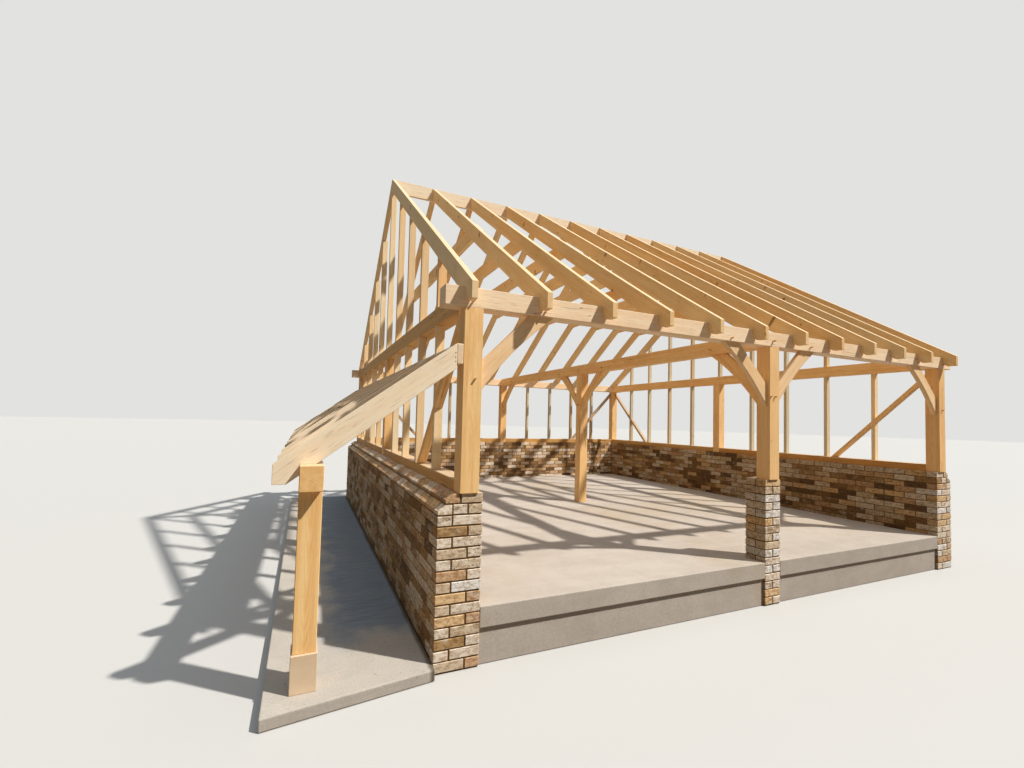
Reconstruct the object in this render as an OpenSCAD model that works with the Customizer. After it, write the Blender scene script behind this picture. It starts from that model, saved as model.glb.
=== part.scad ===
// Two-bay open-fronted garage frame in green oak and softwood.
// Oak posts, beams, ties and arch braces stand on brick dwarf walls and one brick pier round
// a concrete floor, under a bare gable roof of rafters, with a lean-to frame down the left side.
// X runs to the right along the open front, Y to the back, Z up. Millimetres.
// The ground is at Z = 0, and the middle of the whole frame's box is over the origin.

/* [Oak frame] */
// Length of the frame along the front, over the posts
frame_l = 6420; // [5600:10:7600]
// Depth of the frame, over the front and back posts
frame_d = 6640; // [5800:10:7800]
// Width of a square oak post, and of the beams and ties on it
post_w = 140; // [115:5:170]
// Height of the underside of the beams above the garage floor
beam_under = 2090; // [1900:10:2400]
// Depth of the eaves beams
beam_h = 140; // [115:5:180]
// Depth of the ties that run front to back
tie_h = 150; // [115:5:200]
// How far the eaves beams run past the end posts
beam_over = 145; // [60:5:240]

/* [Arch braces] */
// Thickness of an arch brace
arch_t = 48; // [35:1:90]
// Distance from the corner to the upper edge of an arch brace, along post and beam
arch_in = 380; // [250:5:450]
// Distance from the corner to the lower edge of an arch brace, along post and beam
arch_out = 590; // [500:5:700]
// Rise of the curved lower edge
arch_rise = 36; // [15:1:60]
// How far an arch brace stands back from the front face of its posts, or the left face of its tie
arch_set = 27; // [15:1:46]

/* [Brick walls] */
// Thickness of the walls above the splayed courses
wall_t = 215; // [190:1:260]
// Height of the wall tops above the garage floor
wall_up = 790; // [450:5:1000]
// Height of one course of bricks with its joint
course_h = 75; // [65:1:90]
// How far each splayed course steps out
splay_out = 56; // [20:1:80]
// Height of the sloping face of a splayed course
splay_rise = 42; // [20:1:55]
// How far the wall ends and the pier stand behind the front posts' faces
front_back = 15; // [0:1:60]
// Width of the square brick pier
pier_w = 215; // [190:1:330]

/* [Garage floor] */
// Height of the garage floor above the lowest ground
floor_up = 410; // [300:5:600]
// Thickness of the concrete floor
floor_t = 150; // [100:5:200]
// How far the footing under the floor's front edge stands back
footing_in = 25; // [5:1:100]

/* [Sole plates and studs] */
// Height of the sole plates
sole_h = 85; // [50:1:120]
// Width of a stud's edge
stud_w = 47; // [38:1:60]
// Depth of a stud through the wall
stud_h = 72; // [60:1:110]
// Studs in each half of a wall
stud_n = 4; // [2:1:6]

/* [Down braces] */
// Thickness of a down brace through the wall
down_t = 72; // [50:1:110]
// Depth of a down brace across its slope
down_h = 50; // [38:1:120]
// Distance from the beam's underside down to the top of a down brace
down_top = 35; // [20:1:200]
// Slope of a down brace in degrees
down_angle = 45.4; // [40:0.1:55]

/* [Main roof] */
// Pitch of the main roof in degrees
roof_pitch = 34.7; // [30:0.1:40]
// Thickness of a rafter
rafter_t = 47; // [38:1:60]
// Depth of a rafter across its slope
rafter_h = 147; // [125:1:190]
// Pairs of rafters
rafter_n = 12; // [6:1:14]
// How far the rafters' feet run past the front and back posts
eaves_out = 130; // [100:5:250]
// Width of the level underside that is cut on a rafter's foot
soffit_w = 84; // [30:1:95]
// Depth of the seat that a rafter's notch has on the beam
seat_w = 114; // [60:1:114]
// Thickness of the ridge board
ridge_t = 40; // [25:1:60]
// Thickness of a collar
collar_t = 47; // [38:1:60]
// Depth of a collar
collar_h = 175; // [120:1:220]
// Height of a collar's underside above the eaves beams
collar_up = 1060; // [850:10:1250]
// How far the ends of a collar stay below the tops of its rafters
collar_in = 18; // [0:1:60]

/* [Lean-to frame] */
// Distance from the main frame's side to the outer face of the lean-to posts
lean_w = 1010; // [800:10:1400]
// Width of a square lean-to post and its wall plate
lean_post_w = 135; // [115:5:170]
// Height of the stone block under a lean-to post
pad_h = 225; // [100:5:300]
// Width of the stone block from left to right
pad_w = 150; // [120:1:200]
// How far the stone block stands out in front of its post and behind it
pad_out = 16; // [0:1:40]
// Height of a lean-to post
lean_post_h = 965; // [700:5:1200]
// Depth of the lean-to wall plate
lean_plate_h = 155; // [100:5:180]
// How far the plate runs past the end posts
plate_over = 95; // [0:5:150]
// Pitch of the lean-to roof in degrees
lean_pitch = 36.3; // [28:0.1:37]
// Depth of a lean-to rafter across its slope
lean_rafter_h = 142; // [120:1:180]
// Lean-to rafters
lean_n = 12; // [6:1:14]
// How far the lean-to rafters' feet run past the posts
lean_out = 146; // [100:2:220]
// Width of the level underside that is cut on a lean-to rafter's foot
lean_soffit_w = 76; // [30:1:95]
// Depth of the seat of a lean-to rafter on its plate
lean_seat = 92; // [40:1:110]
// Thickness of the ledger board on the main frame's side
ledger_t = 47; // [30:1:60]
// Depth of the ledger board
ledger_h = 145; // [110:1:190]

/* [Lean-to slab] */
// Width of the slab beside the garage wall
side_w = 1010; // [900:10:1500]
// Thickness of the slab
side_t = 75; // [50:5:150]
// How far the slab's outer corner runs in front of the posts
side_front_out = 175; // [40:5:400]
// How far the slab's inner corner runs in front of the posts
side_front_in = 45; // [0:5:200]

/* [Hidden] */
$fn = 96;
// room left round a down brace where a stud is cut for it
fit = 0.5;
// longest overlap used only to cut clean through
eps = 5;

// heights above the garage floor
beam_top = beam_under + beam_h;
tie_top = beam_under + tie_h;
ground = -floor_up;

// walls: the posts and sole plates stand in the middle of the wall's thickness
wall_lip = (wall_t - post_w) / 2;
plinth_out = wall_lip + 2 * splay_out;
wall_in = post_w + wall_lip;
back_in = frame_d - wall_in;

// the middle posts
mid_x = (frame_l - post_w) / 2;
mid_y = (frame_d - post_w) / 2;

// down braces, from the post's face to the sole plate's top
down_up = beam_under - down_top;
down_v = down_h / cos(down_angle);
down_foot = wall_up + sole_h;

// main roof lines
tan_r = tan(roof_pitch);
rafter_v = rafter_h / cos(roof_pitch);
ridge_y = (frame_d - ridge_t) / 2;
rafter_step = (frame_l - rafter_t) / (rafter_n - 1);
function under_r(y) = beam_top + (y - seat_w) * tan_r;
function over_r(y) = under_r(y) + rafter_v;
function y_over(z) = (z - rafter_v - beam_top) / tan_r + seat_w;
tail_y = soffit_w - eaves_out;
collar_z = beam_top + collar_up;

// lean-to lines, with x running left from the main frame's side
lean_floor = ground + side_t;
pad_top = lean_floor + pad_h;
lean_under = pad_top + lean_post_h;
lean_top = lean_under + lean_plate_h;
tan_l = tan(lean_pitch);
lean_v = lean_rafter_h / cos(lean_pitch);
lean_seat_x = -lean_w + lean_seat;
function under_l(x) = lean_top + (x - lean_seat_x) * tan_l;
function over_l(x) = under_l(x) + lean_v;
lean_tip = -lean_w - lean_out;
lean_tail_x = lean_tip + lean_soffit_w;
lean_step = (frame_d - rafter_t) / (lean_n - 1);

// the whole box, so that its middle comes over the origin
slab_left = -plinth_out - side_w;
low_x = min(slab_left, lean_tip);
high_x = frame_l + max(plinth_out, beam_over);
low_y = -max(side_front_out, eaves_out, plate_over);
high_y = frame_d + max(plinth_out, eaves_out, plate_over);
shift = [-(low_x + high_x) / 2, -(low_y + high_y) / 2, floor_up];

// Shapes that several pieces share

// a block from one corner to the opposite one, in the frame's own axes
module block(a, b) {
  translate(a)
    cube([b[0] - a[0], b[1] - a[1], b[2] - a[2]]);
}

// a flat shape drawn in Y and Z, thickened along X
module along_x(x, t) {
  translate([x, 0, 0])
    rotate([90, 0, 90])
      linear_extrude(height = t)
        children();
}

// a flat shape drawn in X and Z, thickened along Y
module along_y(y, t) {
  translate([0, y + t, 0])
    rotate([90, 0, 0])
      linear_extrude(height = t)
        children();
}

// an upright square post from a height to the beams
module post(x, y, z) {
  translate(shift)
    block([x, y, z], [x + post_w, y + post_w, beam_under]);
}

// cross-section of a dwarf wall: a is the outward distance from the posts' outer faces
module wall_section() {
  polygon([
    [-wall_in, ground],
    [plinth_out, ground],
    [plinth_out, wall_up - course_h - splay_rise],
    [wall_lip + splay_out, wall_up - course_h],
    [wall_lip + splay_out, wall_up - splay_rise],
    [wall_lip, wall_up],
    [-wall_in, wall_up]
  ]);
}

// outline of the back wall from behind, with the splayed courses at both ends
module wall_ends() {
  polygon([
    [-plinth_out, ground],
    [frame_l + plinth_out, ground],
    [frame_l + plinth_out, wall_up - course_h - splay_rise],
    [frame_l + wall_lip + splay_out, wall_up - course_h],
    [frame_l + wall_lip + splay_out, wall_up - splay_rise],
    [frame_l + wall_lip, wall_up],
    [-wall_lip, wall_up],
    [-wall_lip - splay_out, wall_up - splay_rise],
    [-wall_lip - splay_out, wall_up - course_h],
    [-plinth_out, wall_up - course_h - splay_rise]
  ]);
}

// one side of an arch brace: straight above, curved below, in the corner of post and beam
module arch_shape() {
  chord = arch_out * sqrt(2);
  r = chord * chord / (8 * arch_rise) + arch_rise / 2;
  c = arch_out / 2 + (r - arch_rise) / sqrt(2);
  difference() {
    polygon([[arch_in, 0], [arch_out, 0], [0, -arch_out], [0, -arch_in]]);
    translate([c, -c])
      circle(r = r, $fn = 360);
  }
}

// an arch brace in the front plane; side 1 runs right from the post at x, side -1 runs left
module arch_across(x, y, side) {
  translate([side > 0 ? x + post_w : x, y + arch_set + arch_t, beam_under])
    rotate([90, 0, 0])
      linear_extrude(height = arch_t)
        mirror([side < 0 ? 1 : 0, 0])
          arch_shape();
}

// an arch brace along a tie; side 1 runs back from the post at y, side -1 runs forward
module arch_along(x, y, side) {
  translate([x + arch_set, side > 0 ? y + post_w : y, beam_under])
    rotate([90, 0, 90])
      linear_extrude(height = arch_t)
        mirror([side < 0 ? 1 : 0, 0])
          arch_shape();
}

// side view of a down brace: a is the distance from the post's face, grown by g for a cut
module down_shape(g = 0) {
  gv = g / cos(down_angle);
  t = tan(down_angle);
  polygon([
    [0, down_up + gv],
    [0, down_up - down_v - gv],
    [(down_up - down_v - gv - down_foot) / t, down_foot],
    [(down_up + gv - down_foot) / t, down_foot]
  ]);
}

// the studs of one half of a wall, seen square on, from post to post
module stud_row(from, to, low, high, n) {
  gap = (to - from - n * stud_w) / (n + 1);
  for (i = [0 : n - 1])
    translate([from + gap + i * (gap + stud_w), low])
      square([stud_w, high - low]);
}

// a wall's studs cut round the down braces at both ends of a wall of length l
module wall_studs(l, mid) {
  difference() {
    union() {
      stud_row(post_w, mid, down_foot, beam_under, stud_n);
      stud_row(mid + post_w, l - post_w, down_foot, beam_under, stud_n);
    }
    translate([post_w, 0])
      down_shape(fit);
    translate([l - post_w, 0])
      mirror([1, 0])
        down_shape(fit);
  }
}

// the space under the rafters and the ridge board, within which a gable stud is kept
module under_roof() {
  polygon([
    [0, beam_top - eps],
    [frame_d, beam_top - eps],
    [frame_d, under_r(0)],
    [ridge_y + ridge_t, under_r(ridge_y)],
    [ridge_y, under_r(ridge_y)],
    [0, under_r(0)]
  ]);
}

// studs of a gable above its tie
module gable_studs() {
  intersection() {
    union() {
      stud_row(post_w, mid_y, tie_top, under_r(ridge_y), stud_n);
      stud_row(mid_y + post_w, frame_d - post_w, tie_top, under_r(ridge_y), stud_n);
      translate([(frame_d - stud_w) / 2, tie_top])
        square([stud_w, under_r(ridge_y) - tie_top]);
    }
    under_roof();
  }
}

// one rafter of the front slope: plumb foot, level soffit, notch over the beam, plumb top
module rafter_shape() {
  polygon([
    [-eaves_out, over_r(-eaves_out)],
    [-eaves_out, under_r(tail_y)],
    [tail_y, under_r(tail_y)],
    [0, under_r(0)],
    [0, beam_top],
    [seat_w, beam_top],
    [ridge_y, under_r(ridge_y)],
    [ridge_y, over_r(ridge_y)]
  ]);
}

// a collar, with its ends cut to the slope of the roof just under the rafters' tops
module collar_shape() {
  low_end = y_over(collar_z + collar_in);
  high_end = y_over(collar_z + collar_h + collar_in);
  polygon([
    [low_end, collar_z],
    [frame_d - low_end, collar_z],
    [frame_d - high_end, collar_z + collar_h],
    [high_end, collar_z + collar_h]
  ]);
}

// one lean-to rafter: plumb foot, level soffit, notch over the plate, plumb top on the ledger
module lean_rafter_shape() {
  polygon([
    [lean_tip, over_l(lean_tip)],
    [lean_tip, under_l(lean_tail_x)],
    [lean_tail_x, under_l(lean_tail_x)],
    [-lean_w, under_l(-lean_w)],
    [-lean_w, lean_top],
    [lean_seat_x, lean_top],
    [-ledger_t, under_l(-ledger_t)],
    [-ledger_t, over_l(-ledger_t)]
  ]);
}

// the three places of the lean-to posts along the side
lean_ys = [0, mid_y, frame_d - lean_post_w];

// Concrete and brickwork

// concrete floor, with a footing under it that stands back at the front and the pier let in
module floor_slab() {
  color("darkgray")
    translate(shift)
      difference() {
        union() {
          block([wall_in, front_back, -floor_t], [frame_l - wall_in, back_in, 0]);
          block([wall_in, front_back + footing_in, ground], [frame_l - wall_in, back_in, -floor_t]);
        }
        block(
          [(frame_l - pier_w) / 2, front_back - eps, ground - eps],
          [(frame_l + pier_w) / 2, front_back + pier_w, eps]
        );
      }
}

// concrete slab under the lean-to, its front edge out of square
module side_slab() {
  color("gainsboro")
    translate(shift)
      translate([0, 0, ground])
        linear_extrude(height = side_t)
          polygon([
            [slab_left, -side_front_out],
            [-plinth_out, -side_front_in],
            [-plinth_out, frame_d + plinth_out],
            [slab_left, frame_d + plinth_out]
          ]);
}

// left dwarf wall, from its plain front end to the back wall
module left_wall() {
  color("chocolate")
    translate(shift)
      along_y(front_back, back_in - front_back)
        mirror([1, 0])
          wall_section();
}

// right dwarf wall, the left one mirrored
module right_wall() {
  color("chocolate")
    translate(shift)
      along_y(front_back, back_in - front_back)
        translate([frame_l, 0])
          wall_section();
}

// back dwarf wall, with its splayed courses mitred round both outer corners
module back_wall() {
  color("sienna")
    translate(shift)
      intersection() {
        along_x(-plinth_out, frame_l + 2 * plinth_out)
          translate([frame_d, 0])
            wall_section();
        along_y(back_in, wall_in + plinth_out)
          wall_ends();
      }
}

// brick pier under the middle post of the front
module front_pier() {
  color("chocolate")
    translate(shift)
      block(
        [(frame_l - pier_w) / 2, front_back, ground],
        [(frame_l + pier_w) / 2, front_back + pier_w, wall_up]
      );
}

// Oak posts

module post_front_left() {
  color("burlywood")
    post(0, 0, wall_up);
}

module post_front_middle() {
  color("burlywood")
    post(mid_x, 0, wall_up);
}

module post_front_right() {
  color("burlywood")
    post(frame_l - post_w, 0, wall_up);
}

// the only post that stands on the floor
module post_centre() {
  color("burlywood")
    post(mid_x, mid_y, 0);
}

module post_back_left() {
  color("burlywood")
    post(0, frame_d - post_w, wall_up);
}

module post_back_middle() {
  color("burlywood")
    post(mid_x, frame_d - post_w, wall_up);
}

module post_back_right() {
  color("burlywood")
    post(frame_l - post_w, frame_d - post_w, wall_up);
}

module post_left_middle() {
  color("burlywood")
    post(0, mid_y, wall_up);
}

module post_right_middle() {
  color("burlywood")
    post(frame_l - post_w, mid_y, wall_up);
}

// Beams, ties and sole plates

module beam_front() {
  color("tan")
    translate(shift)
      block([-beam_over, 0, beam_under], [frame_l + beam_over, post_w, beam_top]);
}

module beam_back() {
  color("tan")
    translate(shift)
      block([-beam_over, frame_d - post_w, beam_under], [frame_l + beam_over, frame_d, beam_top]);
}

// a tie between the two eaves beams
module tie(x) {
  color("tan")
    translate(shift)
      block([x, post_w, beam_under], [x + post_w, frame_d - post_w, tie_top]);
}

module tie_left() {
  tie(0);
}

module tie_centre() {
  tie(mid_x);
}

module tie_right() {
  tie(frame_l - post_w);
}

// two lengths of sole plate on a side wall, between the posts
module sole_side(x) {
  color("peru")
    translate(shift) {
      block([x, post_w, wall_up], [x + post_w, mid_y, down_foot]);
      block([x, mid_y + post_w, wall_up], [x + post_w, frame_d - post_w, down_foot]);
    }
}

module sole_left() {
  sole_side(0);
}

module sole_right() {
  sole_side(frame_l - post_w);
}

module sole_back() {
  color("peru")
    translate(shift) {
      block([post_w, frame_d - post_w, wall_up], [mid_x, frame_d, down_foot]);
      block([mid_x + post_w, frame_d - post_w, wall_up], [frame_l - post_w, frame_d, down_foot]);
    }
}

// Braces

// arch braces in the open front
module braces_front() {
  color("wheat")
    translate(shift) {
      arch_across(0, 0, 1);
      arch_across(mid_x, 0, -1);
      arch_across(mid_x, 0, 1);
      arch_across(frame_l - post_w, 0, -1);
    }
}

// arch braces under the middle tie
module braces_tie() {
  color("wheat")
    translate(shift) {
      arch_along(mid_x, 0, 1);
      arch_along(mid_x, mid_y, -1);
      arch_along(mid_x, mid_y, 1);
      arch_along(mid_x, frame_d - post_w, -1);
    }
}

// straight down braces at both ends of a side wall, flush with its outer face at x
module braces_side(x) {
  color("wheat")
    translate(shift)
      along_x(x, down_t)
        union() {
          translate([post_w, 0])
            down_shape();
          translate([frame_d - post_w, 0])
            mirror([1, 0])
              down_shape();
        }
}

module braces_left_wall() {
  braces_side(0);
}

module braces_right_wall() {
  braces_side(frame_l - down_t);
}

module braces_back_wall() {
  color("wheat")
    translate(shift)
      along_y(frame_d - down_t, down_t)
        union() {
          translate([post_w, 0])
            down_shape();
          translate([frame_l - post_w, 0])
            mirror([1, 0])
              down_shape();
        }
}

// Studs

module studs_left() {
  color("khaki")
    translate(shift)
      along_x(0, stud_h)
        wall_studs(frame_d, mid_y);
}

module studs_right() {
  color("khaki")
    translate(shift)
      along_x(frame_l - stud_h, stud_h)
        wall_studs(frame_d, mid_y);
}

module studs_back() {
  color("khaki")
    translate(shift)
      along_y(frame_d - stud_h, stud_h)
        wall_studs(frame_l, mid_x);
}

module gable_studs_left() {
  color("khaki")
    translate(shift)
      along_x(0, stud_h)
        gable_studs();
}

module gable_studs_right() {
  color("khaki")
    translate(shift)
      along_x(frame_l - stud_h, stud_h)
        gable_studs();
}

// Main roof

module ridge_board() {
  color("moccasin")
    translate(shift)
      block([0, ridge_y, under_r(ridge_y)], [frame_l, ridge_y + ridge_t, over_r(ridge_y)]);
}

module rafters_front() {
  color("navajowhite")
    translate(shift)
      for (i = [0 : rafter_n - 1])
        along_x(i * rafter_step, rafter_t)
          rafter_shape();
}

module rafters_back() {
  color("navajowhite")
    translate(shift)
      for (i = [0 : rafter_n - 1])
        along_x(i * rafter_step, rafter_t)
          translate([frame_d, 0])
            mirror([1, 0])
              rafter_shape();
}

// a collar on every pair of rafters but the gables' ones, which have the studs under them
module collars() {
  color("moccasin")
    translate(shift)
      for (i = [1 : rafter_n - 2])
        along_x(i * rafter_step + rafter_t, collar_t)
          collar_shape();
}

// Lean-to

module lean_ledger() {
  color("moccasin")
    translate(shift)
      block([-ledger_t, 0, over_l(-ledger_t) - ledger_h], [0, frame_d, over_l(-ledger_t)]);
}

module lean_plate() {
  color("tan")
    translate(shift)
      block([-lean_w, -plate_over, lean_under], [lean_post_w - lean_w, frame_d + plate_over, lean_top]);
}

module lean_posts() {
  color("burlywood")
    translate(shift)
      for (y = lean_ys)
        block([-lean_w, y, pad_top], [lean_post_w - lean_w, y + lean_post_w, lean_under]);
}

module lean_post_bases() {
  color("lightgray")
    translate(shift)
      for (y = lean_ys)
        translate([(lean_post_w - pad_w) / 2 - lean_w, y - pad_out, lean_floor])
          cube([pad_w, lean_post_w + 2 * pad_out, pad_h]);
}

module lean_rafters() {
  color("navajowhite")
    translate(shift)
      for (i = [0 : lean_n - 1])
        along_y(i * lean_step, rafter_t)
          lean_rafter_shape();
}

floor_slab();
side_slab();
left_wall();
back_wall();
right_wall();
front_pier();
post_front_left();
post_front_middle();
post_front_right();
post_centre();
post_back_left();
post_back_middle();
post_back_right();
post_left_middle();
post_right_middle();
beam_front();
beam_back();
tie_left();
tie_centre();
tie_right();
sole_left();
sole_back();
sole_right();
braces_front();
braces_tie();
braces_left_wall();
braces_right_wall();
braces_back_wall();
studs_left();
studs_right();
studs_back();
gable_studs_left();
gable_studs_right();
ridge_board();
rafters_front();
rafters_back();
collars();
lean_ledger();
lean_plate();
lean_posts();
lean_post_bases();
lean_rafters();
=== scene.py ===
import math
import random

import bmesh
import bpy
from mathutils import Matrix, Vector


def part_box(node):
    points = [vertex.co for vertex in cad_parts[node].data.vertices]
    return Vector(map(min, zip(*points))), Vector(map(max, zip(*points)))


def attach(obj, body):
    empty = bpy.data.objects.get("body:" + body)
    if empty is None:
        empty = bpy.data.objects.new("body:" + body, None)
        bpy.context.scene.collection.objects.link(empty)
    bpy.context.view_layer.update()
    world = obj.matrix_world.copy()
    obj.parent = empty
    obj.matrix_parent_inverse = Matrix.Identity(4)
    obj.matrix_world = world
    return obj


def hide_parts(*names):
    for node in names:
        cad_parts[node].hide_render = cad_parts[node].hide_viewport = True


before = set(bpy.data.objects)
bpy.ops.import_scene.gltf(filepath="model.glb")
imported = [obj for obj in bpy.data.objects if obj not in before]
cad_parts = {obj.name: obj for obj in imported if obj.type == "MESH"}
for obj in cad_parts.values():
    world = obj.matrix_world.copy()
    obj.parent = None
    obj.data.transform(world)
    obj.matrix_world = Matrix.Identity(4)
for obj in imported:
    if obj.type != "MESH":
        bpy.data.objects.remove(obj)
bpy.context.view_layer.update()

random.seed(7)
scene = bpy.context.scene


# Garage floor
# One pour of pale concrete between the brick walls, floated smooth and a little stained, over a
# footing that stands back behind the floor's front edge.

def tint(red, green, blue):
    """A screen colour, 0 to 255, as the linear colour that a shader takes."""
    def linear(value):
        share = value / 255
        return share / 12.92 if share <= 0.04045 else ((share + 0.055) / 1.055) ** 2.4
    return (linear(red), linear(green), linear(blue), 1)


class Wire:
    """One output of a node, which can be added, multiplied and so on."""

    def __init__(self, nodes, socket):
        self.nodes = nodes
        self.socket = socket

    def maths(self, operation, first, second):
        return self.nodes.node("ShaderNodeMath", {"operation": operation}, {0: first, 1: second})

    def __add__(self, other):
        return self.maths("ADD", self, other)

    def __sub__(self, other):
        return self.maths("SUBTRACT", self, other)

    def __rsub__(self, other):
        return self.maths("SUBTRACT", other, self)

    def __mul__(self, other):
        return self.maths("MULTIPLY", self, other)

    def __truediv__(self, other):
        return self.maths("DIVIDE", self, other)

    def __pow__(self, other):
        return self.maths("POWER", self, other)

    def __lt__(self, other):
        return self.maths("LESS_THAN", self, other)

    def __abs__(self):
        return self.maths("ABSOLUTE", self, 0)

    __radd__ = __add__
    __rmul__ = __mul__


class Nodes:
    """The node tree of a material or of the world."""

    def __init__(self, owner):
        owner.use_nodes = True
        self.tree = owner.node_tree

    def node(self, kind, settings=None, values=None, out=0):
        """A new node with its settings, then the values or links of its sockets."""
        made = self.tree.nodes.new(kind)
        for key, value in (settings or {}).items():
            if key == "stops":
                self.set_stops(made.color_ramp, value)
            else:
                setattr(made, key, value)
        for key, value in (values or {}).items():
            self.feed(made.inputs[key], value)
        return Wire(self, made.outputs[out])

    def set_stops(self, ramp, stops):
        """Plain steps of colour, each from its own position on."""
        ramp.interpolation = "CONSTANT"
        while len(ramp.elements) < len(stops):
            ramp.elements.new(0.5)
        for stop, (position, shade) in zip(ramp.elements, stops):
            stop.position = position
            stop.color = shade

    def feed(self, socket, value):
        """Links a wire to a socket, or sets the socket to a plain value."""
        if isinstance(value, Wire):
            self.tree.links.new(value.socket, socket)
        else:
            socket.default_value = value


class Finish(Nodes):
    """A material with one principled shader, and the nodes that feed it."""

    def __init__(self, name, **even):
        self.material = bpy.data.materials.new(name)
        super().__init__(self.material)
        self.shader = self.tree.nodes["Principled BSDF"]
        for socket, value in even.items():
            self.shader.inputs[socket.replace("_", " ")].default_value = value

    def attribute(self, name, out="Fac"):
        return self.node("ShaderNodeAttribute", {"attribute_name": name}, out=out)

    def chances(self, tone):
        """Three even random numbers that belong to a tone."""
        settings = {"noise_dimensions": "1D"}
        return self.split(self.node("ShaderNodeTexWhiteNoise", settings, {"W": tone}, "Color"))

    def noise(self, at, scale, detail=2, rough=0.5, out=0):
        values = {"Vector": at, "Scale": scale, "Detail": detail, "Roughness": rough}
        return self.node("ShaderNodeTexNoise", None, values, out)

    def stretch(self, at, x, y, z):
        return self.node("ShaderNodeVectorMath", {"operation": "MULTIPLY"}, {0: at, 1: (x, y, z)})

    def split(self, vector):
        first = self.node("ShaderNodeSeparateXYZ", None, {0: vector})
        return [Wire(self, output) for output in first.socket.node.outputs]

    def join(self, x, y, z):
        return self.node("ShaderNodeCombineXYZ", None, {0: x, 1: y, 2: z})

    def rise(self, value, low, high, top=1.0):
        """0 below low, top above high, and smooth between; low may be the larger one."""
        values = {"Value": value, "From Min": low, "From Max": high, "To Max": top}
        return self.node("ShaderNodeMapRange", {"interpolation_type": "SMOOTHSTEP"}, values)

    def mix(self, share, first, second, blend="MIX"):
        settings = {"data_type": "RGBA", "blend_type": blend}
        return self.node("ShaderNodeMix", settings, {0: share, 6: first, 7: second}, 2)

    def bump(self, height, strength, depth):
        values = {"Height": height, "Strength": strength, "Distance": depth}
        self.feed(self.shader.inputs["Normal"], self.node("ShaderNodeBump", None, values))

    def colour(self, wire):
        self.feed(self.shader.inputs["Base Color"], wire)

    def roughness(self, wire):
        self.feed(self.shader.inputs["Roughness"], wire)


def concrete(name, pale, dull, stain):
    """Floated concrete: broad clouds, tan stains, fine sand and a few small pits."""
    made = Finish(name, Specular_IOR_Level=0.3)
    at = made.node("ShaderNodeTexCoord", out="Object")
    clouds = made.rise(made.noise(at, 0.8, 4, 0.6), 0.36, 0.68)
    patches = made.rise(made.noise(at, 0.55, 3, 0.65), 0.50, 0.70, 0.6)
    sweep = made.rise(made.noise(made.stretch(at, 1.2, 6.5, 6.5), 1, 4, 0.62), 0.3, 0.75)
    sand = made.noise(at, 95, 3, 0.7)
    pits = made.rise(made.noise(at, 34, 2, 0.5), 0.71, 0.78)
    mottle = made.rise(made.noise(at, 4.5, 5, 0.7), 0.43, 0.60, 0.6)
    base = made.mix(clouds * 0.4 + sweep * 0.3 + mottle * 0.4, pale, dull)
    base = made.mix(patches * 0.8, base, stain)
    base = made.mix(made.rise(sand, 0.35, 0.7, 0.3), base, tint(132, 122, 108))
    made.roughness(0.78 + sand * 0.16)
    made.bump(sand + sweep * 1.5 - pits * 2, 0.35, 0.0012)
    return made, made.mix(pits * 0.6, base, tint(92, 82, 70))


same_point = 1e-5
on_plane = 1e-6
flat_angle = 0.001
corner_angle = 0.35


def clean_copy(node):
    """A copy of a CAD node's mesh, merged, with each flat side as one face."""
    made = bmesh.new()
    made.from_mesh(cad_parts[node].data)
    bmesh.ops.remove_doubles(made, verts=made.verts, dist=same_point)
    bmesh.ops.dissolve_limit(made, angle_limit=flat_angle, verts=made.verts, edges=made.edges)
    return made


def bevel(made, edges, width, segments=1):
    bmesh.ops.bevel(
        made, geom=edges, offset=width, segments=segments, profile=0.5,
        affect="EDGES", material=-1, clamp_overlap=True,
    )


def ease(made, width, segments=1):
    """Takes the sharpness off every corner edge."""
    sharp = [edge for edge in made.edges if edge.calc_face_angle(0) > corner_angle]
    bevel(made, sharp, width, segments)


def place(made, name, finish, slot, *nodes):
    """Turns a bmesh into a piece that stands for the CAD nodes."""
    mesh = bpy.data.meshes.new(name)
    made.to_mesh(mesh)
    made.free()
    mesh.materials.append(finish.material)
    piece = bpy.data.objects.new(name, mesh)
    scene.collection.objects.link(piece)
    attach(piece, "root")
    if nodes:
        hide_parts(*nodes)


floated, base = concrete(
    "floated_concrete", tint(201, 191, 180), tint(178, 167, 155), tint(188, 168, 138)
)
floated.colour(base)
floor = clean_copy("floor_slab")
ease(floor, width=0.006, segments=2)
place(floor, "garage_floor", floated, "concrete", "floor_slab")


# Lean-to slab
# A thinner strip of concrete beside the garage wall, cast later and brushed across. Under the
# lean-to it is greyed with painted shade, and it darkens in a narrow strip along the foot of the
# wall.
brushed, slab_colour = concrete(
    "brushed_concrete", tint(200, 192, 181), tint(179, 172, 162), tint(176, 167, 154)
)
slab_low, slab_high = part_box("side_slab")
painted_shade_front = slab_low.y + 0.58
painted_shade_front_fade = 0.35
painted_shade_left = slab_low.x + 0.30
painted_shade_left_fade = 0.25
wall_foot_reach = 0.045
wall_foot_full = 0.012
at = brushed.node("ShaderNodeTexCoord", out="Object")
uneven = (brushed.noise(at, 3.2, 4, 0.6) - 0.5) * 0.5
x, y = brushed.split(at)[:2]
# Painted shade: a cool grey over the slab where the wall and the lean-to shade it, fading out
# towards its lit front and left edges.
painted_shade = brushed.rise(y + uneven, painted_shade_front, painted_shade_front + painted_shade_front_fade)
painted_shade = painted_shade * brushed.rise(x + uneven, painted_shade_left, painted_shade_left + painted_shade_left_fade)
brush = brushed.noise(brushed.stretch(at, 5, 75, 5), 1, 4, 0.7)
painted_shade_grey = brushed.mix(brushed.rise(brush, 0.35, 0.7), tint(142, 152, 162), tint(122, 131, 140))
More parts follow.
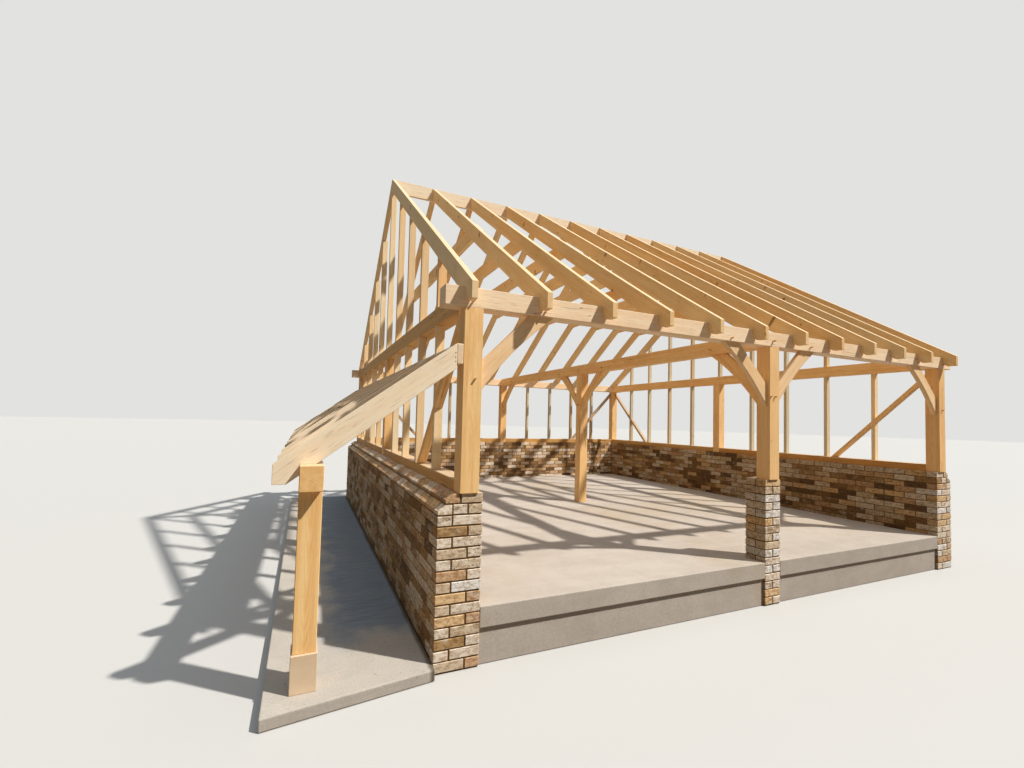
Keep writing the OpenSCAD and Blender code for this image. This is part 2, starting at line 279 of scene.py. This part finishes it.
# A narrow darker strip runs along the foot of the wall.
wall_foot_dark = brushed.rise(x + uneven * 0.06, slab_high.x - wall_foot_reach, slab_high.x - wall_foot_full)
base = brushed.mix(painted_shade, slab_colour, painted_shade_grey)
brushed.colour(brushed.mix(wall_foot_dark * 0.85, base, tint(78, 68, 50)))
slab = clean_copy("side_slab")
ease(slab, width=0.008, segments=2)
place(slab, "lean_to_slab", brushed, "concrete", "side_slab")


# Dwarf walls and pier
# Tumbled stock bricks in stretcher bond, each of its own colour and blotched with lime, with raked
# joints. The two top courses are splayed plinth bricks outside. The bond is closed with bricks
# laid across at each front end, and the pier turns by a quarter from course to course.
brick_long = 0.215
brick_wide = 0.1025
course = 0.075
joint = 0.010
raked = 0.007
splay_out = 0.056
splay_rise = 0.042
brick_high = course - joint
pitch = brick_long + joint
half_pitch = brick_wide + joint
worn_edge = 0.0035
worn_size = (0.986, 0.999)
tilt = 0.005
slip_most = 0.0015
pattern_reach = 40

floor_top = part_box("floor_slab")[1].z
left_low, left_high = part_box("left_wall")
right_low, right_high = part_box("right_wall")
back_low, back_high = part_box("back_wall")
pier_low, pier_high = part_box("front_pier")
side_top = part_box("side_slab")[1].z
wall_top = left_high.z
courses = round(wall_top / course)
front_y = left_low.y
inner_y = back_low.y
base_thick = left_high.x - left_low.x

# parts of the mix of brick colours, which runs from the darkest at 0 to the palest at 1
common_mix = (0, 0.8)
outer_mix = (0.08, 0.86)
sunlit_end_mix = (0.32, 1)
sunlit_pier_mix = (0.46, 1)
grey_mix = (0.36, 0.72)


def loose_parts(made):
    """The separate solids of a bmesh, as lists of vertices in an order that never changes."""
    seen = set()
    for first in made.verts:
        if first in seen:
            continue
        seen.add(first)
        part = [first]
        for vert in part:
            for edge in vert.link_edges:
                other = edge.other_vert(vert)
                if other not in seen:
                    seen.add(other)
                    part.append(other)
        yield part


class Brickwork:
    """Bricks of one wall, laid one at a time and finished together."""

    def __init__(self):
        self.made = bmesh.new()
        self.tone = self.made.verts.layers.float.new("tone")

    def brick(self, corner, size, tones=common_mix):
        """Lays a brick by its lowest corner, its colour picked from a part of the mix."""
        centre = Vector(corner) + Vector(size) / 2
        matrix = Matrix.LocRotScale(centre, None, Vector(size))
        laid = bmesh.ops.create_cube(self.made, size=1, matrix=matrix)
        shade = random.uniform(*tones)
        for vert in laid["verts"]:
            vert[self.tone] = shade

    def cut_splay(self, top, point, normal):
        """Cuts the bricks of the course under a level back to a sloping plane."""
        low = top - course + joint / 2
        verts = [vert for vert in self.made.verts if low < vert.co.z < top + joint / 2]
        edges = dict.fromkeys(edge for vert in verts for edge in vert.link_edges)
        faces = dict.fromkeys(face for vert in verts for face in vert.link_faces)
        done = bmesh.ops.bisect_plane(
            self.made, geom=[*verts, *edges, *faces], dist=on_plane,
            plane_co=point, plane_no=normal, clear_outer=True,
        )
        rim = [item for item in done["geom_cut"] if isinstance(item, bmesh.types.BMEdge)]
        bmesh.ops.edgeloop_fill(self.made, edges=rim)

    def finish(self, name, finish, node, low, high):
        """Wears and shakes the bricks, and keeps them between two corners of a box."""
        made = self.made
        bmesh.ops.recalc_face_normals(made, faces=made.faces)
        bevel(made, made.edges, worn_edge)
        scatter = made.verts.layers.float_vector.new("scatter")
        for part in loose_parts(made):
            shade = max(vert[self.tone] for vert in part)
            where = Vector([random.uniform(0, pattern_reach) for _ in range(3)])
            middle = sum((vert.co for vert in part), Vector()) / len(part)
            turn = Matrix.Rotation(random.gauss(0, tilt), 3, random.choice("XYZ"))
            slip = Vector([random.uniform(-slip_most, slip_most) for _ in range(3)])
            for vert in part:
                wear = random.uniform(*worn_size)
                vert.co = middle + turn @ (vert.co - middle) * wear + slip
                vert[self.tone] = shade
                vert[scatter] = where
            for axis in range(3):
                over = max(0, max(vert.co[axis] for vert in part) - high[axis])
                under = max(0, low[axis] - min(vert.co[axis] for vert in part))
                for vert in part:
                    vert.co[axis] += under - over
        place(made, name, finish, "brick", node)


def stretchers(length, first_half, last_half):
    """Start and length of each brick in a course whose ends may be half bricks."""
    ends = half_pitch * (first_half + last_half)
    number = round((length + joint - ends) / pitch)
    step = (length + joint - ends) / number
    at = 0
    if first_half:
        yield 0, brick_wide, "first"
        at = half_pitch
    for _ in range(number):
        yield at, step - joint, ""
        at += step
    if last_half:
        yield at, brick_wide, "last"


def brick_finish():
    """Buffs, browns and creams with lime bloom, scorch marks and pits, and painted shade on faces
    towards -X.
    """
    made = Finish("stock_brick", Specular_IOR_Level=0.2)
    tone = made.attribute("tone")
    chance = made.chances(tone)
    own = made.attribute("scatter", "Vector")
    at = made.node("ShaderNodeTexCoord", out="Object")
    at = made.node("ShaderNodeVectorMath", {"operation": "ADD"}, {0: at, 1: own})
    flat = made.stretch(at, 1, 1, 1.8)
    palette = made.node("ShaderNodeValToRGB", {"stops": (
        (0.00, tint(118, 92, 62)), (0.09, tint(148, 116, 76)), (0.22, tint(184, 150, 104)),
        (0.36, tint(216, 180, 142)), (0.46, tint(224, 204, 176)), (0.56, tint(236, 202, 154)),
        (0.64, tint(241, 227, 208)), (0.76, tint(247, 232, 214)), (0.90, tint(247, 244, 238)),
    )}, {0: tone})
    mottle = made.noise(flat, 26, 4, 0.7)
    speck = made.noise(at, 120, 3, 0.72)
    bloom = made.noise(flat, 12, 4, 0.62) + (chance[0] - 0.5) * 0.26
    scorch = made.noise(flat, 10, 4, 0.7) + (chance[1] - 0.5) * 0.26
    pits = made.rise(made.noise(at, 60, 2, 0.5), 0.58, 0.67) * made.rise(chance[2], 0.3, 0.8)
    darker = made.mix(1.0, palette, tint(190, 164, 132), "MULTIPLY")
    base = made.mix(made.rise(mottle, 0.42, 0.64, 0.75), palette, darker)
    base = made.mix(made.rise(scorch, 0.58, 0.76, 0.7), base, tint(124, 96, 64))
    base = made.mix(made.rise(bloom, 0.58, 0.78, 0.5), base, tint(238, 230, 218))
    base = made.mix(made.rise(speck, 0.50, 0.75, 0.3), base, tint(122, 96, 70))
    base = made.mix(pits * 0.65, base, tint(96, 72, 50))
    # Painted shade: faces turned towards -X, away from the key lamp, are darkened.
    normal = made.node("ShaderNodeNewGeometry", out="Normal")
    painted_shade_side = made.rise(made.split(normal)[0], -0.5, -0.9)
    made.colour(made.mix(painted_shade_side, base, tint(214, 210, 201), "MULTIPLY"))
    made.roughness(0.82 + speck * 0.14)
    made.bump(mottle * 2 + speck - pits * 2, 0.5, 0.0022)
    return made


def mortar_finish():
    """Sandy lime mortar, browner than the bricks."""
    made = Finish("raked_mortar", Roughness=0.95, Specular_IOR_Level=0.2)
    at = made.node("ShaderNodeTexCoord", out="Object")
    grit = made.noise(at, 160, 3, 0.75)
    cloud = made.noise(at, 5, 3, 0.6)
    base = made.mix(cloud, tint(122, 94, 56), tint(94, 70, 42))
    base = made.mix(made.rise(grit, 0.4, 0.7, 0.35), base, tint(136, 108, 72))
    made.colour(base)
    made.bump(grit, 0.6, 0.002)
    return made


stock_brick = brick_finish()
raked_mortar = mortar_finish()


def mortar(node, name):
    """The wall's own shape, drawn in by the depth of the raked joints."""
    core = clean_copy(node)
    core.normal_update()
    moves = [(vert, vert.normal * vert.calc_shell_factor() * raked) for vert in core.verts]
    for vert, move in moves:
        if vert.co.z < joint:
            move.z = 0
        vert.co -= move
    place(core, name, raked_mortar, "brick", node)


walls = {"left": Brickwork(), "back": Brickwork(), "right": Brickwork()}


def lay_side(side, inner_x, outward):
    """Both faces and the front end of a side wall; outward is -1 on the left and 1 on the right."""

    def put(at, long, deep, face, inward):
        """A brick of this course, some way along the wall, its face on a plane across X."""
        low_x = face if inward > 0 else face - deep
        turned = face != inner_x and front_y + at + long / 2 > inner_y
        tones = common_mix
        # Painted light: the bricks at each front end are picked from the paler part of the mix, to
        # look sunlit.
        if at == 0:
            tones = sunlit_end_mix
        elif face != inner_x:
            tones = grey_mix if splayed else outer_mix
        corner = (low_x, front_y + at, z)
        walls["back" if turned else side].brick(corner, (deep, long, brick_high), tones)

    for number in range(courses):
        z = number * course + joint
        brick_top = z + brick_high
        splayed = number >= courses - 2
        step_in = splay_out * (number == courses - 1)
        outer_x = inner_x + outward * (base_thick - step_in)
        turned_inside = number % 2 == 1 and number != courses - 2
        length = back_high.y - step_in - front_y
        for at, long, end in stretchers(length, not turned_inside, not turned_inside):
            across = end == "first" and not splayed
            if end != "last" and (outward > 0 or brick_top > side_top or at == 0):
                put(at, long, brick_long if across else brick_wide, outer_x, -outward)
        for at, long, end in stretchers(inner_y - front_y, turned_inside, not turned_inside):
            across = end == "first"
            deep = brick_long if across else brick_wide
            if across and number == courses - 1:
                deep = base_thick - step_in - half_pitch
            if brick_top > floor_top or at == 0:
                put(at, long, deep, inner_x, outward)
        if number == courses - 2:
            # this course ends in three bricks side by side, and here is the middle one
            put(0, brick_long, brick_wide, inner_x + outward * half_pitch, outward)


lay_side("left", left_high.x, -1)
lay_side("right", right_low.x, 1)

for number in range(courses):
    z = number * course + joint
    step_in = splay_out * (number == courses - 1)
    side_turns = number % 2 == 1 and number != courses - 2
    length = back_high.x - back_low.x - 2 * step_in
    for at, long, end in stretchers(length, side_turns, side_turns):
        if not end:
            corner = (back_low.x + step_in + at, back_high.y - step_in - brick_wide, z)
            walls["back"].brick(corner, (long, brick_wide, brick_high))
    if z + brick_high > floor_top:
        for at, long, _ in stretchers(right_low.x - left_high.x, number % 2, number % 2):
            walls["back"].brick((left_high.x + at, inner_y, z), (long, brick_wide, brick_high))

slope_out, slope_up = Vector((splay_rise, splay_out)).normalized()
for side, wall in walls.items():
    for level in range(2):
        top = wall_top - level * course
        inset = splay_out * (2 - level)
        if side != "right":
            normal = Vector((-slope_out, 0, slope_up))
            wall.cut_splay(top, Vector((left_low.x + inset, 0, top)), normal)
        if side != "left":
            normal = Vector((slope_out, 0, slope_up))
            wall.cut_splay(top, Vector((right_high.x - inset, 0, top)), normal)
        if side == "back":
            normal = Vector((0, slope_out, slope_up))
            wall.cut_splay(top, Vector((0, back_high.y - inset, top)), normal)

outer_low = Vector((left_low.x, front_y, 0))
outer_high = Vector((right_high.x, back_high.y, wall_top))
for side, wall in walls.items():
    wall.finish(side + "_wall_bricks", stock_brick, side + "_wall", outer_low, outer_high)
    mortar(side + "_wall", side + "_wall_mortar")

# Painted light: all the pier's bricks come from the palest part of the mix, to look as bright as
# its sunlit front.
pier = Brickwork()
for number in range(courses):
    z = number * course + joint
    for offset in (0, half_pitch):
        if number % 2 == 1:
            corner = (pier_low.x, pier_low.y + offset, z)
            pier.brick(corner, (brick_long, brick_wide, brick_high), sunlit_pier_mix)
        else:
            corner = (pier_low.x + offset, pier_low.y, z)
            pier.brick(corner, (brick_wide, brick_long, brick_high), sunlit_pier_mix)
pier.finish("pier_bricks", stock_brick, "front_pier", pier_low, pier_high)
mortar("front_pier", "pier_mortar")


# Oak posts
# Square posts of green oak, sawn, with the heart boxed in the middle of each, so the grain runs
# up every face and short drying checks open along it. The front ones stand on the brickwork.

lit_bleached_top = tint(216, 200, 172)
oak_tints = (tint(255, 216, 152), tint(235, 175, 101), tint(244, 202, 144), tint(100, 62, 32))
oak_ring = 0.0042
oak_eased = 0.003
grain_reach = 60


def wood(name, pale, deep, grey, knot_shade, ring, knots, checks, marks=0.10, greyed=None):
    """Sawn timber: growth rings round a heart that runs along each stick, knots and streaks.

    Where it is greyed, weather dulls it from one place in Y to another, by a tint.
    """
    made = Finish(name)
    grain = made.attribute("grain", "Vector")
    tone = made.attribute("tone")
    chance = made.chances(tone)
    drift = made.split(made.noise(made.stretch(grain, 0.8, 4, 4), 1, 2, 0.5, "Color"))
    u, v, w = made.split(grain)
    v = v + (drift[0] - 0.5) * 0.06
    w = w + (drift[1] - 0.5) * 0.06
    radius = (v * v + w * w) ** 0.5
    round_heart = made.join(u * 8, v / radius * 0.65, w / radius * 0.65)
    near = made.node("ShaderNodeTexVoronoi", None, {"Vector": round_heart, "Scale": 1}, "Distance")
    cell = Wire(made, near.socket.node.outputs["Color"])
    kept = made.split(cell)[0] < knots
    knot = kept * made.rise(near, 0.19, 0.10)
    swell = kept * made.rise(near, 0.42, 0.08)
    phase = (radius + swell * 0.009) * (2 * math.pi / ring)
    late = (made.node("ShaderNodeMath", {"operation": "SINE"}, {0: phase}) * 0.5 + 0.5) ** 1.6
    fibre = made.noise(made.stretch(grain, 7, 240, 240), 1, 3, 0.6)
    streak = made.noise(made.stretch(grain, 0.6, 22, 22), 1, 4, 0.65)
    cloud = made.noise(made.stretch(grain, 1.8, 5, 5), 1, 4, 0.65)
    sawn = made.noise(made.stretch(grain, 42, 6, 6), 1, 2, 0.6)
    fleck = made.rise(made.noise(made.stretch(grain, 8, 105, 105), 1, 2, 0.6), 0.56, 0.70)
    share = late * 0.30 + made.rise(streak, 0.36, 0.66) * 0.46 + (fibre - 0.5) * 0.5
    base = made.mix(share, pale, deep)
    base = made.mix(made.rise(cloud, 0.48, 0.72, 0.45), base, deep)
    base = made.mix(made.rise(chance[0], 0.55, 1.0, 0.5), base, grey)
    warmer = made.mix(1.0, base, tint(238, 206, 160), "MULTIPLY")
    base = made.mix(made.rise(tone, 0.3, 1.0, 0.7), base, warmer)
    base = made.mix(made.rise(sawn, 0.5, 0.75, 0.12), base, deep)
    base = made.mix(fleck * marks, base, knot_shade)
    base = made.mix(swell * 0.3, base, deep)
    base = made.mix(knot * 0.8, base, knot_shade)
    line = made.noise(made.stretch(grain, 0.9, 30, 30), 1, 1, 0.4)
    where = made.rise(made.noise(made.stretch(grain, 1.7, 3, 3), 1, 2, 0.5), 0.50, 0.58)
    crack = made.rise(abs(line - 0.5), 0.011, 0.0) * where * checks
    base = made.mix(crack * 0.75, base, knot_shade)
    axis = made.attribute("axis", "Vector")
    normal = made.node("ShaderNodeNewGeometry", out="Normal")
    facing = made.node(
        "ShaderNodeVectorMath", {"operation": "DOT_PRODUCT"}, {0: normal, 1: axis}, "Value"
    )
    end = made.rise(abs(facing), 0.5, 0.9)
    end_grain = made.mix(1.0, base, tint(190, 160, 124), "MULTIPLY")
    base = made.mix(end * (0.05 + late * 0.25), base, end_grain)
    # Faces that look up are paler: partly sun bleaching, partly painted light on the lit tops.
    up = made.rise(made.split(normal)[2], 0.5, 0.8, 0.85)
    base = made.mix(up, base, made.mix(late * 0.4 + fibre * 0.3, lit_bleached_top, deep))
    if greyed:
        low, high, veil = greyed
        back = made.split(made.node("ShaderNodeTexCoord", out="Object"))[1]
        base = made.mix(made.rise(back, low, high), base, made.mix(1.0, base, veil, "MULTIPLY"))
    made.colour(base)
    made.roughness(0.62 + fibre * 0.2)
    made.bump(late * 0.4 + fibre + sawn * 0.5 - crack * 4 + knot * 0.6, 0.35, 0.0012)
    return made


def timber(node, name, finish, slot, heart, tones=(0, 1), eased=0.004):
    """A CAD node's sticks with eased edges, each with its own grain, heart and tone."""
    made = clean_copy(node)
    ease(made, eased)
    grain = made.verts.layers.float_vector.new("grain")
    axis = made.verts.layers.float_vector.new("axis")
    tone = made.verts.layers.float.new("tone")
    for stick in loose_parts(made):
        edges = [edge for vert in stick for edge in vert.link_edges]
        longest = max(edges, key=lambda edge: round(edge.calc_length(), 5))
        along = (longest.verts[1].co - longest.verts[0].co).normalized()
        across = along.orthogonal().normalized()
        third = along.cross(across)
        middle = sum((vert.co for vert in stick), Vector()) / len(stick)
        turn = random.uniform(0, 2 * math.pi)
        pith = Vector((math.cos(turn), math.sin(turn))) * random.uniform(0.3, 1) * heart
        start = random.uniform(0, grain_reach)
        shade = random.uniform(*tones)
        for vert in stick:
            at = vert.co - middle
            vert[grain] = (at.dot(along) + start, at.dot(across) - pith.x, at.dot(third) - pith.y)
            vert[axis] = along
            vert[tone] = shade
    place(made, name, finish, slot, node)


oak = wood("green_oak", *oak_tints, ring=oak_ring, knots=0.02, checks=1.0)
for spot in (
    "front_left", "front_middle", "front_right", "centre", "back_left",
    "back_middle", "back_right", "left_middle", "right_middle",
):
    post = "post_" + spot
    timber(post, "oak_" + post, oak, "oak", heart=0.02, tones=(0, 0.55), eased=oak_eased)


# Beams, ties and sole plates
# Long sticks of the same oak, tenoned and pegged to the posts. The two eaves beams carry the
# rafters, the ties run from front to back on the posts' tops, and the sole plates lie on the walls.
fresh_oak = wood(
    "fresh_sawn_oak", tint(255, 231, 196), tint(243, 202, 154), tint(247, 226, 198),
    tint(128, 84, 46), ring=oak_ring, knots=0.03, checks=0.8, marks=0.24,
)
for beam in ("beam_front", "beam_back"):
    timber(beam, "oak_" + beam, fresh_oak, "oak", heart=0.03, tones=(0, 0.5), eased=oak_eased)
for tie in ("tie_centre", "tie_right"):
    timber(tie, "oak_" + tie, oak, "oak", heart=0.03, tones=(0, 0.6), eased=oak_eased)
# Painted shade: the sole plates and the left tie take a darker, browner copy of the oak, standing
# in for the deeper shade they lie in.
shade_darkened_oak = wood(
    "shade_darkened_oak", tint(212, 166, 94), tint(180, 126, 60), tint(196, 156, 102), tint(84, 54, 28),
    ring=oak_ring, knots=0.05, checks=1.0,
)
for side in ("left", "back", "right"):
    timber("sole_" + side, "oak_sole_" + side, shade_darkened_oak, "oak", heart=0.06, tones=(0, 0.8))
timber(
    "tie_left", "oak_tie_left", shade_darkened_oak, "oak", heart=0.03, tones=(0, 0.6), eased=oak_eased
)


# Braces
# Curved arch braces under the front beam and the middle tie, cut from one board each, and straight
# down braces in the corners of the three walls, which have greyed along the back.
brace_oak = wood(
    "brace_oak", tint(255, 223, 176), tint(240, 190, 128), tint(246, 220, 186), tint(118, 76, 40),
    ring=oak_ring, knots=0.03, checks=0.8,
)
timber(
    "braces_front", "arch_braces_front", brace_oak, "oak",
    heart=0.09, tones=(0, 0.6), eased=oak_eased,
)
timber(
    "braces_tie", "arch_braces_tie", oak, "oak",
    heart=0.09, tones=(0, 0.8), eased=oak_eased,
)
greyed_oak = wood(
    "greyed_oak", *oak_tints, ring=oak_ring, knots=0.02, checks=1.0,
    greyed=(0, 1, tint(204, 209, 225)),
)
for side, finish in (("left", oak), ("right", greyed_oak), ("back", greyed_oak)):
    node = "braces_" + side + "_wall"
    timber(node, "down_braces_" + side, finish, "oak", heart=0.06, tones=(0, 0.5))


# Studs
# Softwood studs between the sole plates and the beams, cut round the down braces, and longer
# ones over the side ties up to the rafters. Those of the right and back walls have greyed.
stud_tints = (tint(253, 231, 188), tint(238, 203, 150), tint(228, 216, 190), tint(130, 84, 46))
softwood_ring = 0.0055
softwood_eased = 0.002
stud_wood = wood("stud_softwood", *stud_tints, ring=softwood_ring, knots=0.14, checks=0.3)
greyed_wood = wood(
    "greyed_softwood", *stud_tints, ring=softwood_ring, knots=0.14, checks=0.3,
    greyed=(-2.6, -1.6, tint(219, 229, 242)),
)
for node, name, finish in (
    ("studs_left", "wall_studs_left", stud_wood),
    ("studs_right", "wall_studs_right", greyed_wood),
    ("studs_back", "wall_studs_back", greyed_wood),
    ("gable_studs_left", "gable_studs_of_left", stud_wood),
    ("gable_studs_right", "gable_studs_of_right", greyed_wood),
):
    timber(node, name, finish, "softwood", heart=0.05, eased=softwood_eased)


# Main roof
# Twelve pairs of sawn softwood rafters, notched over the eaves beams and nailed to the ridge
# board. Each pair but the two at the gables is tied by a collar nailed to its side.
softwood = wood(
    "sawn_softwood", tint(255, 224, 168), tint(242, 192, 120), tint(240, 220, 180),
    tint(120, 74, 38), ring=softwood_ring, knots=0.24, checks=0.3,
)
for slope in ("front", "back"):
    timber(
        "rafters_" + slope, "main_rafters_" + slope, softwood, "softwood",
        heart=0.09, tones=(0, 0.7), eased=softwood_eased,
    )
pale_softwood = wood(
    "pale_softwood", tint(255, 238, 208), tint(248, 216, 174), tint(228, 216, 194),
    tint(130, 84, 46), ring=softwood_ring, knots=0.14, checks=0.3, marks=0.27,
)
timber(
    "ridge_board", "ridge", pale_softwood, "softwood",
    heart=0.09, tones=(0, 0.5), eased=softwood_eased,
)
timber("collars", "rafter_collars", softwood, "softwood", heart=0.09, eased=softwood_eased)


# Lean-to
# A row of lighter rafters from a ledger on the garage's side down to an oak plate on three short
# oak posts, each on a block of pale stone that keeps it off the slab.
timber("lean_posts", "lean_to_posts", oak, "oak", heart=0.02, tones=(0, 0.6))
timber("lean_plate", "lean_to_plate", oak, "oak", heart=0.03, tones=(0, 0.5))
timber(
    "lean_ledger", "lean_to_ledger", pale_softwood, "softwood",
    heart=0.07, tones=(0, 0.6), eased=0.006,
)
timber(
    "lean_rafters", "lean_to_rafters", pale_softwood, "softwood",
    heart=0.09, tones=(0, 0.5), eased=softwood_eased,
)


def stone_finish():
    """Pale sandy stone with fine dark grit."""
    made = Finish("pad_stone")
    at = made.node("ShaderNodeTexCoord", out="Object")
    grit = made.noise(at, 220, 3, 0.7)
    cloud = made.noise(at, 12, 3, 0.6)
    base = made.mix(cloud, tint(230, 206, 174), tint(214, 186, 152))
    base = made.mix(made.rise(grit, 0.45, 0.75, 0.35), base, tint(164, 136, 108))
    made.colour(base)
    made.roughness(0.8 + grit * 0.15)
    made.bump(grit, 0.4, 0.001)
    return made


pads = clean_copy("lean_post_bases")
ease(pads, width=0.004, segments=2)
place(pads, "pad_stones", stone_finish(), "pad_stone", "lean_post_bases")


# Nails
# Three galvanised nails through each lean-to rafter's upper end into the ledger, gone dull and
# dark, one above the other in the rafter's side.
nail_radius = 0.0045
nail_rim = 0.0036
nail_proud = 0.0015
nail_in = 0.012
nail_drops = (0.067, 0.097, 0.126)
nail_stray_x = 0.004
nail_stray_z = 0.003
rafter_thick = 0.047
lean_number = 12
rafter_low, rafter_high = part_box("lean_rafters")
ledger_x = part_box("lean_ledger")[0].x
lean_step = (rafter_high.y - rafter_low.y - rafter_thick) / (lean_number - 1)
sideways = Matrix.Rotation(math.pi / 2, 4, "X")
nails = bmesh.new()
for number in range(lean_number):
    face_y = rafter_low.y + number * lean_step
    for drop in nail_drops:
        x = ledger_x - nail_in + random.uniform(-nail_stray_x, nail_stray_x)
        z = rafter_high.z - drop + random.uniform(-nail_stray_z, nail_stray_z)
        bmesh.ops.create_cone(
            nails, cap_ends=True, segments=12, radius1=nail_radius, radius2=nail_rim,
            depth=2 * nail_proud, matrix=Matrix.Translation((x, face_y, z)) @ sideways,
        )


def nail_finish():
    """Zinc that has dulled, with a little rust."""
    made = Finish("dull_zinc", Metallic=0.7)
    at = made.node("ShaderNodeTexCoord", out="Object")
    rust = made.noise(at, 180, 3, 0.6)
    made.colour(made.mix(made.rise(rust, 0.4, 0.6), tint(96, 92, 86), tint(96, 62, 38)))
    made.roughness(0.45 + rust * 0.4)
    return made


place(nails, "rafter_nails", nail_finish(), "softwood")


# Pegs
# Cleft oak pegs draw each joint of posts, beams and arch braces tight. They are left long, stand
# proud on both faces and taper a little to the driven end.
peg_radius = 0.0095
peg_tip = 0.0076
beam_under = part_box("beam_front")[0].z
pegs = bmesh.new()


def peg(x, y, z, along, depth, proud):
    """A peg through a timber of some depth, square to the face, centred on a point."""
    turn = Matrix.Rotation(math.pi / 2, 4, "X" if along == "Y" else "Y")
    spin = Matrix.Rotation(random.uniform(0, 1), 4, "Z")
    bmesh.ops.create_cone(
        pegs, cap_ends=True, segments=8, radius1=peg_radius, radius2=peg_tip,
        depth=depth + 2 * proud, matrix=Matrix.Translation((x, y, z)) @ turn @ spin,
    )


def pegs_of(node, along, *spots):
    """Pegs at offsets from a post's middle and heights from the beam's underside."""
    low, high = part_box(node)
    middle = (low + high) / 2
    wide = high.x - low.x
    for offset, up, proud in spots:
        x = middle.x + (offset if along == "Y" else 0)
        y = middle.y + (offset if along == "X" else 0)
        peg(x, y, beam_under + up, along, wide, proud)


pegs_of(
    "post_front_left", "Y",
    (-0.007, 0.048, 0.034), (0.018, -0.504, 0.020), (0.565, 0.032, 0.020),
)
pegs_of(
    "post_front_middle", "Y",
    (-0.020, 0.054, 0.030), (-0.052, -0.492, 0.014), (0.006, -0.492, 0.022),
    (-0.598, 0.030, 0.024), (0.547, 0.040, 0.024),
)
pegs_of(
    "post_front_right", "Y",
    (0.008, 0.048, 0.026), (-0.004, -0.526, 0.020), (-0.560, 0.034, 0.022),
)
pegs_of("post_front_middle", "X", (0.020, -0.500, 0.016), (0.625, 0.055, 0.024))
pegs_of(
    "post_centre", "X",
    (-0.625, 0.052, 0.022), (0.625, 0.050, 0.024), (-0.022, -0.498, 0.018), (0.024, -0.506, 0.020),
    (0.005, 0.040, 0.024),
)
pegs_of("post_back_middle", "X", (-0.020, -0.500, 0.018), (-0.625, 0.050, 0.024))


def peg_finish():
    """Cleft oak, a little darker than the sawn faces."""
    made = Finish("cleft_oak")
    at = made.node("ShaderNodeTexCoord", out="Object")
    fleck = made.noise(at, 90, 3, 0.6)
    made.colour(made.mix(fleck, tint(228, 180, 122), tint(184, 130, 74)))
    made.roughness(0.6 + fleck * 0.2)
    made.bump(fleck, 0.3, 0.001)
    return made


place(pegs, "oak_pegs", peg_finish(), "oak")


# Studio
# A plain pale floor with no edge in sight, a warm lamp from the front right, soft cool light from
# above, and the camera where the photograph was taken, low in front of the lean-to.
floor_radius = 120
floor_drop = 0.001
fill_strength = 0.05
ground = bmesh.new()
bmesh.ops.create_circle(ground, cap_ends=True, segments=96, radius=floor_radius)
ground_mesh = bpy.data.meshes.new("studio_floor")
ground.to_mesh(ground_mesh)
ground.free()


def seen_by_eye(made):
    """1 where the camera sees a backdrop, straight or in a reflection, and 0 for plain light."""
    rays = [
        made.node("ShaderNodeLightPath", out=kind)
        for kind in ("Is Camera Ray", "Is Glossy Ray", "Is Transmission Ray")
    ]
    return rays[0] + rays[1] + rays[2]


paper = Finish("studio_paper", Roughness=0.9)
paper.colour(paper.mix(seen_by_eye(paper), tint(110, 98, 85), tint(196, 195, 192)))
ground_mesh.materials.append(paper.material)
studio_floor = bpy.data.objects.new("studio_floor", ground_mesh)
studio_floor.location.z = -floor_drop
scene.collection.objects.link(studio_floor)

scene.view_settings.view_transform = "Standard"
scene.world = bpy.data.worlds.new("studio_air")
air = Nodes(scene.world)
air.tree.nodes.remove(air.tree.nodes["Background"])
fill = air.node("ShaderNodeBackground", None, {"Color": (1, 1, 1, 1), "Strength": fill_strength})
backdrop = air.node("ShaderNodeBackground", None, {"Color": tint(226, 226, 224)})
either = air.node("ShaderNodeMixShader", None, {0: seen_by_eye(air), 1: fill, 2: backdrop})
air.feed(air.tree.nodes["World Output"].inputs["Surface"], either)


def lamp(name, energy, angle, shade, towards):
    """A far lamp of some width, shining from one direction."""
    light = bpy.data.lights.new(name, "SUN")
    light.energy = energy
    light.angle = math.radians(angle)
    light.color = shade
    made = bpy.data.objects.new(name, light)
    made.rotation_euler = Vector(towards).to_track_quat("Z", "Y").to_euler()
    scene.collection.objects.link(made)


lamp("key", energy=4.5, angle=1.5, shade=(1, 0.96, 0.9), towards=(0.778, -0.628, 1.188))
lamp("overhead", energy=1.15, angle=75, shade=(0.82, 0.91, 1), towards=(0, 0, 1))

camera = bpy.data.cameras.new("camera")
camera.sensor_width = 36
camera.lens = 15.742
camera.shift_x = 0.0113
camera.shift_y = 0.0175
camera.clip_end = 500
eye = bpy.data.objects.new("camera", camera)
eye_place = (-3.6993, -6.2438, 1.7161)
eye_yaw = math.radians(23.56)
eye_lift = math.radians(2.267)
eye_roll = math.radians(1.46)
eye.matrix_world = (
    Matrix.Translation(eye_place)
    @ Matrix.Rotation(-eye_yaw, 4, "Z")
    @ Matrix.Rotation(math.pi / 2 + eye_lift, 4, "X")
    @ Matrix.Rotation(eye_roll, 4, "Z")
)
scene.collection.objects.link(eye)
scene.camera = eye
